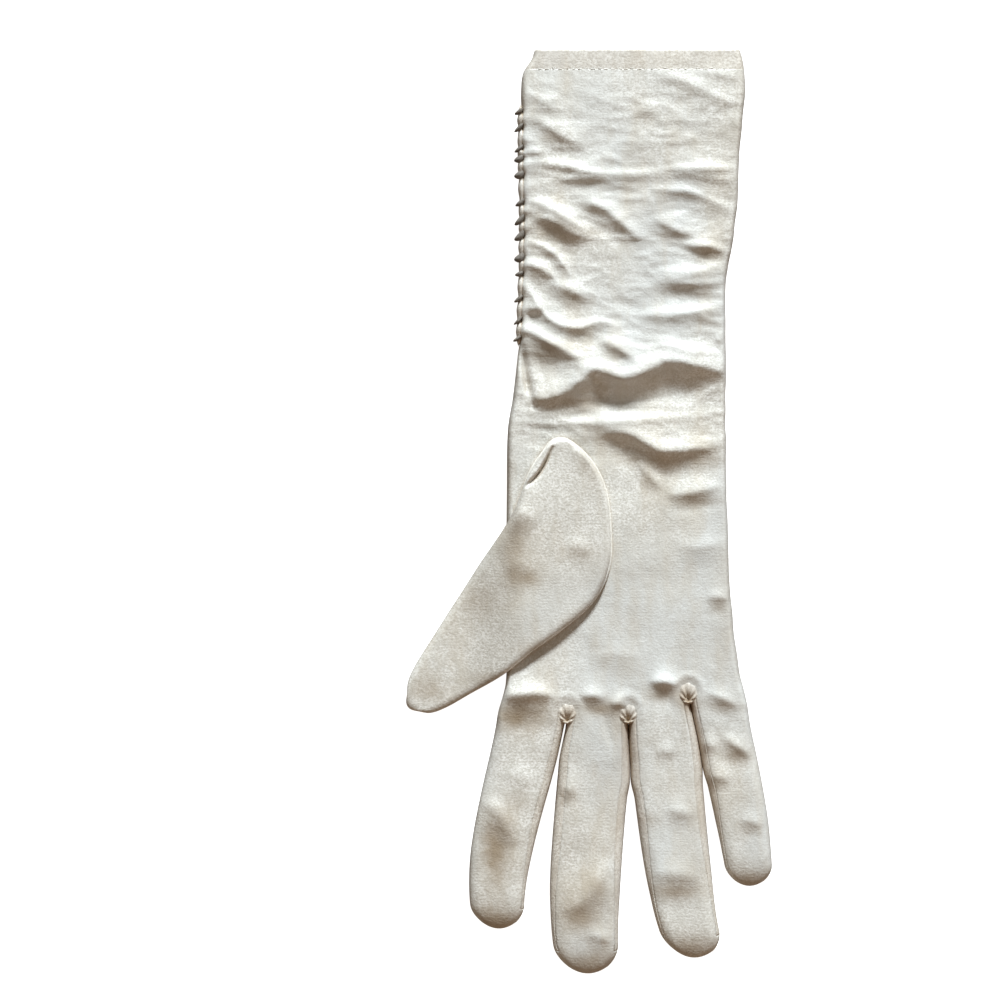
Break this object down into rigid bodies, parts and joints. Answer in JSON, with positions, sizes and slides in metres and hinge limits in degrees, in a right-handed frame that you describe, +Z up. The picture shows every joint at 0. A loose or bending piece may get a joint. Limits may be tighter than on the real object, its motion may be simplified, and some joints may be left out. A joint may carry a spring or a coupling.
{
  "type": "ruched satin glove",
  "caption": "Below-elbow ivory satin glove for the right hand, lying flat palm up, with a ruched sleeve and a turned hem.",
  "frame": {"origin": "middle of the bounding box, on the surface that the glove lies on", "axes": "+Y along the glove towards its mouth, +Z up from the surface and out of the palm, +X to the little finger's side"},
  "size_m": [0.1172, 0.2958, 0.0155],
  "materials": {
    "satin": "satin",
    "seamed_satin": "satin"
  },
  "bodies": {
    "root": {"trank": "satin", "thumb": "satin", "fourchette_index_middle": "seamed_satin", "fourchette_middle_ring": "seamed_satin", "fourchette_ring_little": "seamed_satin", "ruched_seam": "seamed_satin", "hem_band": "seamed_satin"}
  },
  "joints": []
}
